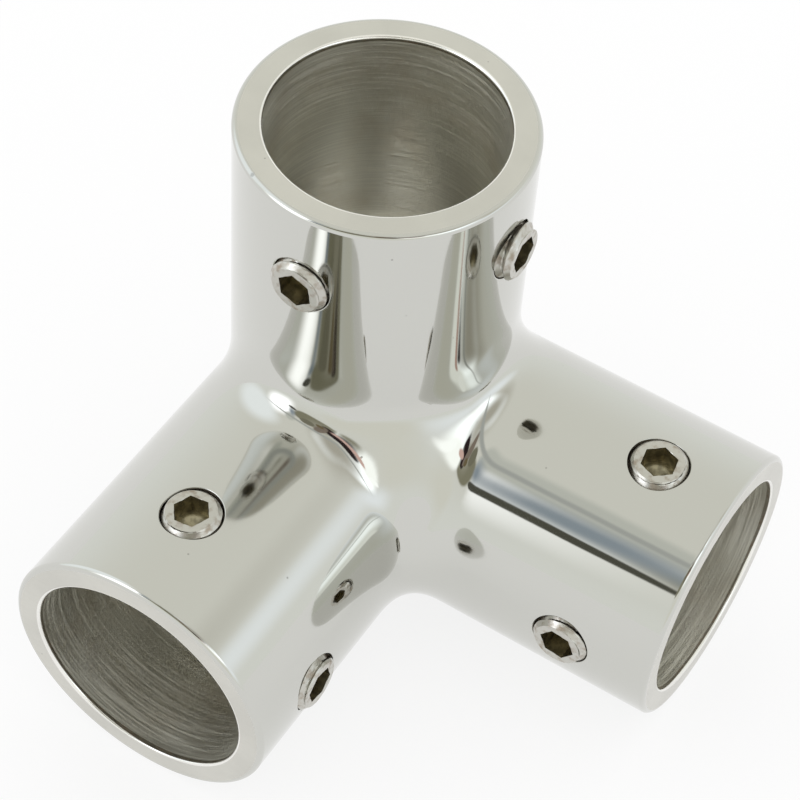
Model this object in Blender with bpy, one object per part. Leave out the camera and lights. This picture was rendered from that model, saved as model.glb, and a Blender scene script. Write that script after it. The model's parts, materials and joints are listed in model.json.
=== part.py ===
"""Three-way corner connector for round tube, cast in stainless steel and mirror polished.

Three tube sockets meet at right angles in one casting. Their outsides flow together through the
fillets that a ball leaves when it rolls along each inner corner and swells towards the innermost
one, and the outer corner is part of a ball. Each socket is bored to a shoulder that stops the tube,
and two socket set screws clamp it.

Units are metres and +Z is up. The part stands on its front and right sockets. The middle of its
bounding box is over the origin, and the floor is at z = 0.
"""

import math
from dataclasses import dataclass

import bmesh
import bpy
from mathutils import Matrix, Vector

MM = 0.001

# The casting
TUBE_DIAMETER = 25.4 * MM  # 1 inch tube
TUBE_CLEARANCE = 0.2 * MM  # between the tube and the bore, on the radius
WALL = 3.1 * MM
REACH = 45.5 * MM  # from the crossing of the centrelines to each mouth
BORE_DEPTH = 28.5 * MM
STOP_LEDGE = 1.5 * MM  # width of the shoulder that stops the tube
CORE_RELIEF = 0.8 * MM  # how far the round hollow in the middle stands outside the passages
CROTCH_FILLET = 5.0 * MM  # the ball that rounds the corner between two sockets
INNER_FILLET = 8.0 * MM  # what it has swollen to in the innermost corner, where it touches all three
RIM_ROUNDING = 0.6 * MM
MOUTH_CHAMFER = 0.35 * MM

# The set screws: 1/4 inch thread, 3/16 inch long, 1/8 inch hexagon key, cup point
SCREW_DIAMETER = 6.2 * MM
SCREW_LENGTH = 4.76 * MM
SCREW_CLEARANCE = 0.3 * MM  # between the screw and its hole, on the radius
SCREW_CHAMFER = 0.55 * MM
KEY_ACROSS_FLATS = 3.175 * MM
KEY_DEPTH = 2.4 * MM
COUNTERSINK_DIAMETER = 3.5 * MM  # less than the hexagon's corners, so it only breaks the flats' edges
PILOT_DIAMETER = 2.6 * MM  # the hole that is drilled before the hexagon is pressed in
PILOT_POINT_SLOPE = 0.5  # height of the drill's point, as a share of its radius
CUP_DIAMETER = 3.2 * MM
CUP_DEPTH = 0.7 * MM

# How far each screw's axis lies from its mouth: the socket's name, then the way the screw faces
INSET_TOP_FRONT = 10.2 * MM
INSET_TOP_RIGHT = 9.1 * MM
INSET_RIGHT_TOP = 9.2 * MM
INSET_RIGHT_FRONT = 10.7 * MM
INSET_FRONT_TOP = 11.5 * MM
INSET_FRONT_RIGHT = 10.2 * MM

# How far each screw's outer face stands above the highest line of its socket
PROUD_TOP_FRONT = 0.85 * MM
PROUD_TOP_RIGHT = 1.1 * MM
PROUD_RIGHT_TOP = 0.2 * MM
PROUD_RIGHT_FRONT = 0.6 * MM
PROUD_FRONT_TOP = 0.2 * MM
PROUD_FRONT_RIGHT = 0.5 * MM

# Facets: QUARTER_STEPS is even, so that a facet edge lies on the plane between two sockets
QUARTER_STEPS = 18
FILLET_STEPS = 6
RIM_STEPS = 3
SCREW_STEPS = 28
SHARP_DEGREES = 30
OVERSHOOT = 2.0 * MM  # how far a cutter passes the surface that it opens

BORE_RADIUS = TUBE_DIAMETER / 2 + TUBE_CLEARANCE
OUTER_RADIUS = BORE_RADIUS + WALL
STOP_HEIGHT = REACH - BORE_DEPTH
PASSAGE_RADIUS = BORE_RADIUS - STOP_LEDGE
SCREW_RADIUS = SCREW_DIAMETER / 2
HOLE_RADIUS = SCREW_RADIUS + SCREW_CLEARANCE
COUNTERSINK_RADIUS = COUNTERSINK_DIAMETER / 2

# Each socket's direction, in right-handed order
SOCKETS = {
    "front": Vector((0, -1, 0)),
    "right": Vector((1, 0, 0)),
    "top": Vector((0, 0, 1)),
}


@dataclass(frozen=True)
class ScrewPlace:
    """Where one set screw sits: which socket, which way it faces, and how it was left."""

    socket: str
    facing: str
    inset: float
    proud: float
    turned: float  # degrees round the socket, away from the facing direction
    key_turn: float  # degrees of the hexagon round the screw's axis


SCREWS = (
    ScrewPlace("top", "front", INSET_TOP_FRONT, PROUD_TOP_FRONT, 0.0, 9.0),
    ScrewPlace("top", "right", INSET_TOP_RIGHT, PROUD_TOP_RIGHT, 0.0, 20.0),
    ScrewPlace("right", "top", INSET_RIGHT_TOP, PROUD_RIGHT_TOP, 1.5, 40.5),
    ScrewPlace("right", "front", INSET_RIGHT_FRONT, PROUD_RIGHT_FRONT, 0.0, 52.8),
    ScrewPlace("front", "top", INSET_FRONT_TOP, PROUD_FRONT_TOP, 3.0, 36.9),
    ScrewPlace("front", "right", INSET_FRONT_RIGHT, PROUD_FRONT_RIGHT, 0.0, 45.0),
)


def clear_scene():
    """Remove every object, so that only the part is left."""
    for obj in list(bpy.data.objects):
        bpy.data.objects.remove(obj, do_unlink=True)


def metal(name, color, roughness):
    """A plain metal material."""
    material = bpy.data.materials.new(name)
    material.use_nodes = True
    shader = material.node_tree.nodes["Principled BSDF"]
    shader.inputs["Base Color"].default_value = (*color, 1.0)
    shader.inputs["Metallic"].default_value = 1.0
    shader.inputs["Roughness"].default_value = roughness
    return material


def new_object(name, mesh, parent=None):
    """Put a mesh into the scene as an object."""
    obj = bpy.data.objects.new(name, mesh)
    bpy.context.scene.collection.objects.link(obj)
    obj.parent = parent
    return obj


def to_mesh(name, bm):
    """Turn a bmesh into a mesh with its faces pointing outwards."""
    bmesh.ops.recalc_face_normals(bm, faces=bm.faces)
    mesh = bpy.data.meshes.new(name)
    bm.to_mesh(mesh)
    bm.free()
    return mesh


def new_cutter(name, bm, along=None, location=(0, 0, 0)):
    """An object that only cuts: it is kept out of the render and shown as wire."""
    cutter = new_object(name, to_mesh(name, bm))
    cutter.location = location
    if along:
        cutter.rotation_euler = along.to_track_quat("Z", "Y").to_euler()
    cutter.hide_render = True
    cutter.display_type = "WIRE"
    return cutter


def carve(name, bm, cutters, material):
    """Take the cutters away from a solid, and give its mesh smooth shading with sharp edges."""
    blank = new_object(name, to_mesh(name, bm))
    for cutter in cutters:
        modifier = blank.modifiers.new(cutter.name, "BOOLEAN")
        modifier.operation = "DIFFERENCE"
        modifier.solver = "EXACT"
        modifier.object = cutter
    graph = bpy.context.evaluated_depsgraph_get()
    mesh = bpy.data.meshes.new_from_object(blank.evaluated_get(graph))
    for helper in (blank, *cutters):
        bpy.data.objects.remove(helper, do_unlink=True)
    mesh.name = name
    mesh.materials.clear()
    mesh.materials.append(material)
    mesh.shade_smooth()
    mesh.set_sharp_from_angle(angle=math.radians(SHARP_DEGREES))
    return mesh


def turned(profile, steps):
    """A solid turned about the Z axis from (radius, height) points that run from axis to axis."""
    bm = bmesh.new()
    verts = [bm.verts.new((radius, 0, height)) for radius, height in profile]
    for first, second in zip(verts, verts[1:]):
        bm.edges.new((first, second))
    bmesh.ops.spin(
        bm, geom=bm.verts[:] + bm.edges[:], cent=(0, 0, 0), axis=(0, 0, 1), angle=math.tau,
        steps=steps, use_merge=True,
    )
    bmesh.ops.remove_doubles(bm, verts=bm.verts, dist=1e-7)
    return bm


def arc(first, second, share):
    """The vector that lies the given share of the way round from the first to the second."""
    angle = first.angle(second)
    if angle < 1e-6:
        return first.copy()
    return (first * math.sin((1 - share) * angle) + second * math.sin(share * angle)) / math.sin(angle)


def patch(bm, columns, rows, place):
    """Lay a grid over a surface: place(across, along) gives each point, both running from 0 to 1."""
    made = bmesh.ops.create_grid(bm, x_segments=columns, y_segments=rows, size=0.5)
    for vert in made["verts"]:
        vert.co = place(vert.co.x + 0.5, vert.co.y + 0.5)


def ball_size(angle):
    """The rolling ball's radius, and how much it grows for each radian of its path.

    The angle is 0 where the ball lies in the plane of the two sockets that it rolls along, and
    45 degrees where it comes to touch the third.
    """
    share = min(max(angle / (math.pi / 4), 0.0), 1.0)
    swelling = INNER_FILLET - CROTCH_FILLET
    radius = CROTCH_FILLET + swelling * share**2 * (3 - 2 * share)
    growth = swelling * 6 * share * (1 - share) / (math.pi / 4)
    return radius, growth


def blend_height(angle):
    """How far from the crossing a socket's own round wall starts, at an angle round the socket.

    The angle is 0 towards the next socket and 90 degrees towards the one after it.
    """
    from_nearer = angle if math.cos(angle) > math.sin(angle) else math.pi / 2 - angle
    radius, _ = ball_size(math.remainder(from_nearer, math.tau))
    return (OUTER_RADIUS + radius) * max(math.cos(from_nearer), 0.0)


def add_socket_wall(bm, frame):
    """The round outside of one socket, from its blend to the rounded edge of its mouth."""
    def wall(across, along):
        angle = math.tau * across
        start = blend_height(angle)
        height = start + (REACH - RIM_ROUNDING - start) * along
        return frame @ Vector((OUTER_RADIUS * math.cos(angle), OUTER_RADIUS * math.sin(angle), height))

    def rim(across, along):
        angle = math.tau * across
        roll = math.pi / 2 * along
        radius = OUTER_RADIUS - RIM_ROUNDING * (1 - math.cos(roll))
        height = REACH - RIM_ROUNDING * (1 - math.sin(roll))
        return frame @ Vector((radius * math.cos(angle), radius * math.sin(angle), height))

    patch(bm, 4 * QUARTER_STEPS, 1, wall)
    patch(bm, 4 * QUARTER_STEPS, RIM_STEPS, rim)


def add_crotch_fillet(bm, frame):
    """The fillet between one socket and the next, as the ball leaves it.

    The ball starts where it touches all three sockets, and its path ends at the pole of the outer
    corner, where the two sockets run into each other and the fillet has no width left. While it
    changes its size, it touches the fillet along a circle that lies off its middle, against the
    way that it grows.
    """
    def fillet(across, along):
        angle = math.radians(45 - 135 * along)
        cos, sin = math.cos(angle), math.sin(angle)
        radius, growth = ball_size(angle)
        centre = (OUTER_RADIUS + radius) * Vector((cos, sin, cos))
        path = growth * Vector((cos, sin, cos)) + (OUTER_RADIUS + radius) * Vector((-sin, cos, -sin))
        middle = -growth / path.length_squared * path
        to_socket = Vector((-cos, -sin, 0)) - middle
        to_next = Vector((0, -sin, -cos)) - middle
        return frame @ (centre + radius * (middle + arc(to_socket, to_next, across)))

    patch(bm, FILLET_STEPS, 3 * QUARTER_STEPS // 2, fillet)


def add_ball_patch(bm, frame, centre, radius, corners, steps):
    """A three-cornered piece of a ball, with the same number of steps along each edge."""
    def ball(across, along):
        far = arc(corners[1], corners[2], across)
        return frame @ (centre + radius * arc(corners[0], far, along))

    patch(bm, steps, steps, ball)


def casting_skin():
    """The outside of the whole casting, as one closed solid with capped mouths."""
    bm = bmesh.new()
    directions = list(SOCKETS.values())
    for index in range(3):
        axes = (directions[(index + 1) % 3], directions[(index + 2) % 3], directions[index])
        frame = Matrix(axes).transposed()
        add_socket_wall(bm, frame)
        add_crotch_fillet(bm, frame)
    frame = Matrix(directions).transposed()
    inner = (OUTER_RADIUS + INNER_FILLET) / math.sqrt(2) * Vector((1, 1, 1))
    touching = [-Vector(sides).normalized() for sides in ((1, 1, 0), (0, 1, 1), (1, 0, 1))]
    add_ball_patch(bm, frame, inner, INNER_FILLET, touching, FILLET_STEPS)
    outer = [-Vector(side) for side in ((1, 0, 0), (0, 1, 0), (0, 0, 1))]
    add_ball_patch(bm, frame, Vector((0, 0, 0)), OUTER_RADIUS, outer, QUARTER_STEPS)
    bmesh.ops.remove_doubles(bm, verts=bm.verts, dist=1e-6)
    bmesh.ops.holes_fill(bm, edges=[edge for edge in bm.edges if edge.is_boundary], sides=0)
    return bm


def bore_blank():
    """The passage, the bore and the chamfer at the mouth, along +Z."""
    mouth_radius = BORE_RADIUS + MOUTH_CHAMFER
    return turned(
        [
            (0, 0),
            (PASSAGE_RADIUS, 0),
            (PASSAGE_RADIUS, STOP_HEIGHT),
            (BORE_RADIUS, STOP_HEIGHT),
            (BORE_RADIUS, REACH - MOUTH_CHAMFER),
            (mouth_radius, REACH),
            (mouth_radius + OVERSHOOT, REACH + OVERSHOOT),
            (0, REACH + OVERSHOOT),
        ],
        4 * QUARTER_STEPS,
    )


def core_blank():
    """The ball-shaped hollow where the three passages meet."""
    bm = bmesh.new()
    bmesh.ops.create_uvsphere(
        bm, u_segments=2 * QUARTER_STEPS, v_segments=QUARTER_STEPS, radius=PASSAGE_RADIUS + CORE_RELIEF
    )
    return bm


def hole_blank():
    """A screw hole through one wall, along +Z, measured from the socket's axis."""
    bottom = BORE_RADIUS / 2
    top = OUTER_RADIUS + OVERSHOOT
    return turned([(0, bottom), (HOLE_RADIUS, bottom), (HOLE_RADIUS, top), (0, top)], SCREW_STEPS)


def screw_outward(place):
    """The direction in which one screw's outer face looks."""
    turn = Matrix.Rotation(math.radians(place.turned), 3, SOCKETS[place.socket])
    return turn @ SOCKETS[place.facing]


def screw_axis_point(place):
    """Where one screw's axis crosses the axis of its socket."""
    return SOCKETS[place.socket] * (REACH - place.inset)


def screw_blank():
    """The set screw with its cup point down and its outer face at z = 0."""
    point_radius = CUP_DIAMETER / 2
    point_height = SCREW_RADIUS - point_radius - SCREW_LENGTH
    return turned(
        [
            (0, CUP_DEPTH - SCREW_LENGTH),
            (point_radius, -SCREW_LENGTH),
            (SCREW_RADIUS, point_height),
            (SCREW_RADIUS, -SCREW_CHAMFER),
            (SCREW_RADIUS - SCREW_CHAMFER, 0),
            (0, 0),
        ],
        SCREW_STEPS,
    )


def hexagon_blank():
    """The hexagon that the key fits."""
    corner_radius = KEY_ACROSS_FLATS / math.sqrt(3)
    bm = bmesh.new()
    made = bmesh.ops.create_cone(
        bm, cap_ends=True, segments=6, radius1=corner_radius, radius2=corner_radius,
        depth=KEY_DEPTH + OVERSHOOT,
    )
    bmesh.ops.translate(bm, verts=made["verts"], vec=(0, 0, (OVERSHOOT - KEY_DEPTH) / 2))
    return bm


def pilot_blank():
    """The drilled hole under the hexagon, with the cone of the drill's point."""
    radius = PILOT_DIAMETER / 2
    point = -KEY_DEPTH - PILOT_POINT_SLOPE * radius
    inside = -KEY_DEPTH / 2
    return turned([(0, point), (radius, -KEY_DEPTH), (radius, inside), (0, inside)], SCREW_STEPS)


def countersink_blank():
    """The cone that leads the key into the hexagon."""
    return turned(
        [(0, -COUNTERSINK_RADIUS), (COUNTERSINK_RADIUS + OVERSHOOT, OVERSHOOT), (0, OVERSHOOT)],
        SCREW_STEPS,
    )


def make_casting(centre, material):
    """The casting, with its bores, its hollow centre and its six screw holes."""
    cutters = [new_cutter("core", core_blank())]
    for name, direction in SOCKETS.items():
        cutters.append(new_cutter("bore_" + name, bore_blank(), direction))
    for place in SCREWS:
        name = f"hole_{place.socket}_{place.facing}"
        cutters.append(new_cutter(name, hole_blank(), screw_outward(place), screw_axis_point(place)))
    new_object("corner_casting", carve("corner_casting", casting_skin(), cutters, material), centre)


def make_screws(centre, material):
    """The six set screws, each with its origin on its own axis, in the middle of its outer face."""
    cutters = [
        new_cutter("key_hexagon", hexagon_blank()),
        new_cutter("key_pilot", pilot_blank()),
        new_cutter("key_countersink", countersink_blank()),
    ]
    mesh = carve("set_screw", screw_blank(), cutters, material)
    for place in SCREWS:
        along = SOCKETS[place.socket]
        outward = screw_outward(place)
        screw = new_object(f"set_screw_{place.socket}_{place.facing}", mesh, centre)
        screw.location = screw_axis_point(place) + outward * (OUTER_RADIUS + place.proud)
        frame = Matrix((along, outward.cross(along), outward)).transposed()
        key_turn = Matrix.Rotation(math.radians(place.key_turn), 3, "Z")
        screw.rotation_euler = (frame @ key_turn).to_euler()


def main():
    clear_scene()
    polished = metal("polished_stainless", (0.78, 0.77, 0.74), 0.06)
    plain = metal("screw_stainless", (0.62, 0.58, 0.53), 0.22)
    centre = new_object("corner_centre", None)
    half_overhang = (REACH - OUTER_RADIUS) / 2
    centre.location = (-half_overhang, half_overhang, OUTER_RADIUS)
    make_casting(centre, polished)
    make_screws(centre, plain)


main()
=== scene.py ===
"""Looks of a three-way corner connector: a mirror-polished casting and its six set screws.

The casting's skin is laid out again as one closed mesh of fine patches with exact surface
directions, so that its reflections run true over the sockets and their blends. The set screws get
their threads, and every surface gets its finish. All sizes are in metres, with +Z up.
"""

import json
import logging
import math
from collections.abc import Callable
from dataclasses import dataclass, field
from enum import Enum
from typing import NamedTuple

import bmesh
import bpy
from mathutils import Matrix, Vector


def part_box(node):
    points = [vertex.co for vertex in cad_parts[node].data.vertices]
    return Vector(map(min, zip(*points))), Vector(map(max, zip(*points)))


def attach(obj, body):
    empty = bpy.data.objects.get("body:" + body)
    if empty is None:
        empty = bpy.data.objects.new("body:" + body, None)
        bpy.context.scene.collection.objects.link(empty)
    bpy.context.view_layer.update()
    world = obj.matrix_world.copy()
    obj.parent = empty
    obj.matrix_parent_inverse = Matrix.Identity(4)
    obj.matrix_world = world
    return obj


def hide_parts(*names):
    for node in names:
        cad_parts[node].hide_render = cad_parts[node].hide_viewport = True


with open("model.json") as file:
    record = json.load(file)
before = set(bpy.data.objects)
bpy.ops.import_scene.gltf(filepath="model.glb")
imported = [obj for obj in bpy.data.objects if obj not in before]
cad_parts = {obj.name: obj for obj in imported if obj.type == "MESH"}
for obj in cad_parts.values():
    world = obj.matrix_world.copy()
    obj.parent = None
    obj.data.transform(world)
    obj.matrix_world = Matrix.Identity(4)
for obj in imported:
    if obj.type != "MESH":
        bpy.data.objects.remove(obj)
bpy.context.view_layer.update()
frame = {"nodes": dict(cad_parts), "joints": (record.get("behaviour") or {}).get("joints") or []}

MM = 0.001
MICRON = 1e-6
MERGE_DISTANCE = 0.001 * MM

Node = bpy.types.Node
Output = bpy.types.NodeSocket
Tree = bpy.types.NodeTree

log = logging.getLogger("corner_connector")


class Finish(Enum):
    """The casting's finishes, in the order of its material slots."""

    POLISHED = 0
    FACED = 1
    BORED = 2
    CAST = 3
    TAPPED_AND_SHADE = 4
    BRIGHT_LIP_HIGHLIGHT = 5


class ScrewFinish(Enum):
    """The set screws' finishes, in the order of their material slots."""

    TURNED = 0
    PRESSED = 1


class Spot(NamedTuple):
    """One corner of a patch: where it is, and which way the surface faces there, if that is known."""

    point: Vector
    facing: Vector | None = None


class Window(NamedTuple):
    """The cells that a patch leaves open, counted from its first column and row."""

    column: int
    row: int
    columns: int
    rows: int

    def holds(self, column: float, row: float) -> bool:
        """Whether a cell's centre lies in the window."""
        return 0 < column - self.column < self.columns and 0 < row - self.row < self.rows

    def border(self, step: float) -> tuple[float, float]:
        """Walk round the window, anticlockwise from its first corner.

        Args:
            step: How many cell edges have been passed.

        Returns:
            The column and the row that the walk has reached.
        """
        column, row = float(self.column), float(self.row)
        for length, right, up in (
            (self.columns, 1, 0), (self.rows, 0, 1), (self.columns, -1, 0), (self.rows, 0, -1)
        ):
            walked = min(step, length)
            column += right * walked
            row += up * walked
            step -= walked
        return column, row


Shape = Callable[[float, float], Spot]


def round_point(radius: float, angle: float, height: float) -> Vector:
    """The point at a radius and an angle round the Z axis, at a height along it."""
    return Vector((radius * math.cos(angle), radius * math.sin(angle), height))


def wall_spot(radius: float, angle: float, height: float, side: int = 1) -> Spot:
    """A spot on a round wall that faces outwards, or inwards where the side is -1."""
    return Spot(round_point(radius, angle, height), round_point(side, angle, 0))


def blend(first: float, second: float, share: float) -> float:
    """The number that lies the given share of the way from the first to the second."""
    return first + (second - first) * share


def great_arc(first: Vector, second: Vector, share: float) -> Vector:
    """Turn one direction towards another.

    Args:
        first: The unit vector at share 0.
        second: The unit vector at share 1.
        share: How far along the great circle between them.

    Returns:
        The unit vector there.
    """
    angle = first.angle(second)
    if angle < 1e-6:
        return first.copy()
    return (first * math.sin((1 - share) * angle) + second * math.sin(share * angle)) / math.sin(angle)


def view_axes(azimuth: float, elevation: float, roll: float) -> tuple[Vector, Vector, Vector]:
    """Find the axes of a view, from angles in degrees.

    Args:
        azimuth: 0 towards -Y, and 90 towards +X.
        elevation: 0 at the horizon, and 90 straight up.
        roll: How far the view is turned anticlockwise.

    Returns:
        The direction to the view's middle, the one across the view, and the one up it.
    """
    azimuth, elevation, roll = map(math.radians, (azimuth, elevation, roll))
    flat = math.cos(elevation)
    middle = Vector((math.sin(azimuth) * flat, -math.cos(azimuth) * flat, math.sin(elevation)))
    level = Vector((math.cos(azimuth), math.sin(azimuth), 0))
    upright = middle.cross(level)
    across = level * math.cos(roll) + upright * math.sin(roll)
    return middle, across, upright * math.cos(roll) - level * math.sin(roll)


def box_middle(node: str) -> Vector:
    """The middle of a CAD node's box."""
    low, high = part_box(node)
    return (low + high) / 2


def add_object(name: str, data: bpy.types.ID) -> bpy.types.Object:
    """Put a mesh or a camera into the scene.

    Args:
        name: The new object's name.
        data: What it shows.

    Returns:
        The object, at the origin.
    """
    added = bpy.data.objects.new(name, data)
    bpy.context.scene.collection.objects.link(added)
    return added


class PatchedMesh:
    """A closed mesh that is laid out patch by patch, each patch a grid bent over its surface."""

    EXACT = "exact_facing"
    PLACE = "place"

    def __init__(self, name: str) -> None:
        """Start an empty mesh.

        Args:
            name: What the mesh and its object are called.
        """
        self.name = name
        self.bm = bmesh.new()
        self.exact = self.bm.loops.layers.float_vector.new(self.EXACT)
        self.place = self.bm.loops.layers.float_vector.new(self.PLACE)
        self.frame = Matrix.Identity(4)

    def patch(
        self, columns: int, rows: int, shape: Shape, finish: Enum, windows: tuple[Window, ...] = ()
    ) -> None:
        """Lay one grid over a surface.

        Args:
            columns: Cells across.
            rows: Cells along.
            shape: Gives the spot for a share across and a share along, in the current frame.
            finish: Chooses the material slot.
            windows: The cells to leave open.
        """
        made = bmesh.ops.create_grid(self.bm, x_segments=columns, y_segments=rows, size=0.5)
        kept, opened = [], []
        for face in dict.fromkeys(face for vert in made["verts"] for face in vert.link_faces):
            centre = face.calc_center_median() + Vector((0.5, 0.5, 0))
            inside = any(window.holds(centre.x * columns, centre.y * rows) for window in windows)
            (opened if inside else kept).append(face)
        bmesh.ops.delete(self.bm, geom=opened, context="FACES")
        turn = self.frame.to_3x3()
        spots = {}
        for vert in made["verts"]:
            if vert.is_valid:
                spot = shape(vert.co.x + 0.5, vert.co.y + 0.5)
                spots[vert] = Spot(spot.point, turn @ spot.facing if spot.facing else Vector((0, 0, 0)))
        for face in kept:
            face.material_index = finish.value
            face.smooth = True
            for loop in face.loops:
                loop[self.place], loop[self.exact] = spots[loop.vert]
        for vert, spot in spots.items():
            vert.co = self.frame @ spot.point

    def to_object(self, materials: list[bpy.types.Material], sharp: float | None = None) -> bpy.types.Object:
        """Close the mesh and put it into the scene.

        Args:
            materials: One for each material slot.
            sharp: The angle past which an edge is sharp, or None to use the exact directions.

        Returns:
            The new object, at the origin.
        """
        bmesh.ops.remove_doubles(self.bm, verts=self.bm.verts, dist=MERGE_DISTANCE)
        bmesh.ops.recalc_face_normals(self.bm, faces=self.bm.faces)
        mesh = bpy.data.meshes.new(self.name)
        self.bm.to_mesh(mesh)
        self.bm.free()
        if sharp is None:
            exact = mesh.attributes[self.EXACT].data
            mesh.normals_split_custom_set([corner.vector for corner in exact])
        else:
            mesh.set_sharp_from_angle(angle=sharp)
        mesh.attributes.remove(mesh.attributes[self.EXACT])
        for material in materials:
            mesh.materials.append(material)
        return add_object(self.name, mesh)


class SocketHole(NamedTuple):
    """One screw hole: the angle round its socket, and the height of its axis along it."""

    angle: float
    height: float


@dataclass(frozen=True)
class Socket:
    """One tube socket, and the directions of its own frame."""

    name: str
    toward_next: Vector
    toward_last: Vector
    along: Vector

    def frame(self, crossing: Vector) -> Matrix:
        """The frame whose Z axis is the socket's, and whose origin is the crossing."""
        turn = Matrix((self.toward_next, self.toward_last, self.along)).transposed().to_4x4()
        return Matrix.Translation(crossing) @ turn

    def screws(self) -> list["Screw"]:
        """The screws that clamp a tube in this socket."""
        return [Screw(self.name, facing) for facing in SCREW_TURNS[self.name]]


FRONT = Vector((0, -1, 0))
RIGHT = Vector((1, 0, 0))
TOP = Vector((0, 0, 1))
SOCKETS = (
    Socket("front", RIGHT, TOP, FRONT),
    Socket("right", TOP, FRONT, RIGHT),
    Socket("top", FRONT, RIGHT, TOP),
)

# Degrees that each screw's hexagon is turned from the socket's own direction: socket, then facing
SCREW_TURNS = {
    "top": {"front": 9.0, "right": 20.0},
    "right": {"top": 40.5, "front": 52.8},
    "front": {"top": 36.9, "right": 45.0},
}


@dataclass(frozen=True)
class Screw:
    """One set screw's place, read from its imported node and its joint."""

    socket: str
    facing: str

    @property
    def tag(self) -> str:
        """The socket and the facing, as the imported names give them."""
        return f"{self.socket}_{self.facing}"

    @property
    def node(self) -> str:
        """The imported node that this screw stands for."""
        return f"set_screw_{self.tag}"

    @property
    def body(self) -> str:
        """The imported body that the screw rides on."""
        return f"screw_{self.tag}"

    def outward(self) -> Vector:
        """The direction that the outer face looks in: against the way the joint drives the screw."""
        joint = next(joint for joint in frame["joints"] if joint["child"] == self.body)
        return -Vector(joint["axis"]).normalized()

    def frame(self, along: Vector) -> Matrix:
        """Find the screw's own frame.

        Args:
            along: The direction of the screw's socket.

        Returns:
            The frame with Z outwards, its origin in the middle of the outer face, and X turned with
            the hexagon.
        """
        outward = self.outward()
        middle = box_middle(self.node)
        face = max(vert.co.dot(outward) for vert in frame["nodes"][self.node].data.vertices)
        origin = middle + outward * (face - middle.dot(outward))
        axes = Matrix((along, outward.cross(along), outward)).transposed()
        key_turn = Matrix.Rotation(math.radians(SCREW_TURNS[self.socket][self.facing]), 3, "Z")
        return Matrix.Translation(origin) @ (axes @ key_turn).to_4x4()


def find_crossing() -> Vector:
    """Where the sockets' centrelines meet: a screw that faces along one axis lies on the others'."""
    nodes = ("set_screw_top_front", "set_screw_top_right", "set_screw_front_right")
    return Vector([box_middle(node)[axis] for axis, node in enumerate(nodes)])


@dataclass(frozen=True)
class Skin:
    """The outside of the casting, on which three round sockets melt into each other.

    A point lies on the skin where its nearness to the sockets adds up to 1. The skin looks the same
    from each socket's own frame, so any of those frames will do.
    """

    radius: float
    reach: float = 7.3 * MM
    hardness: float = 3.1
    corner_fill: float = 16.0
    least_reach: float = 0.0001
    step: float = 0.001 * MM
    search_start: float = 0.9
    search_end: float = 1.7
    halvings: int = 32

    def nearness(self, point: list[float], beside: list[int]) -> float:
        """Add up how near a point is to some sockets.

        Args:
            point: The place, in a socket's frame.
            beside: The axes of the sockets that count.

        Returns:
            1 on the skin, more in the metal and less in the air.
        """
        behind = max(-min(point), 0.0) / self.radius
        reach = self.reach * max(1 - behind**2, self.least_reach)
        total, product = 0.0, 1.0 if len(beside) == 3 else 0.0
        for axis in beside:
            distance = math.hypot(*point[:axis], *point[axis + 1:]) - self.radius
            share = max(1 - distance / reach, 0.0)
            total += share**self.hardness
            product *= share
        return total + self.corner_fill * product**2

    def locate(self, angle: float, height: float, slope: float = 0.0) -> list[float]:
        """Find the skin, going straight out from a socket's axis.

        Args:
            angle: The angle round the socket.
            height: The height along the socket on its axis.
            slope: How much higher the search goes for each metre out.

        Returns:
            The point on the skin, in the socket's frame.
        """
        ray = (math.cos(angle), math.sin(angle), slope)
        beside = [axis for axis, value in enumerate((ray[0], ray[1], 1.0)) if value >= 0]
        low, high = self.search_start * self.radius, self.search_end * self.radius
        for _ in range(self.halvings):
            middle = (low + high) / 2
            point = [middle * ray[0], middle * ray[1], height + middle * slope]
            if self.nearness(point, beside) > 1:
                low = middle
            else:
                high = middle
        return point

    def spot(self, angle: float, height: float) -> Spot:
        """Find a spot of the skin.

        Args:
            angle: The angle round the socket.
            height: The height along the socket.

        Returns:
            The point there, and the way the skin faces.
        """
        point = self.locate(angle, height)
        beside = [axis for axis, value in enumerate(point) if value >= 0]
        fall = []
        for axis in range(3):
            more, less = list(point), list(point)
            more[axis] += self.step
            less[axis] -= self.step
            fall.append(self.nearness(less, beside) - self.nearness(more, beside))
        return Spot(Vector(point), Vector(fall).normalized())


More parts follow.
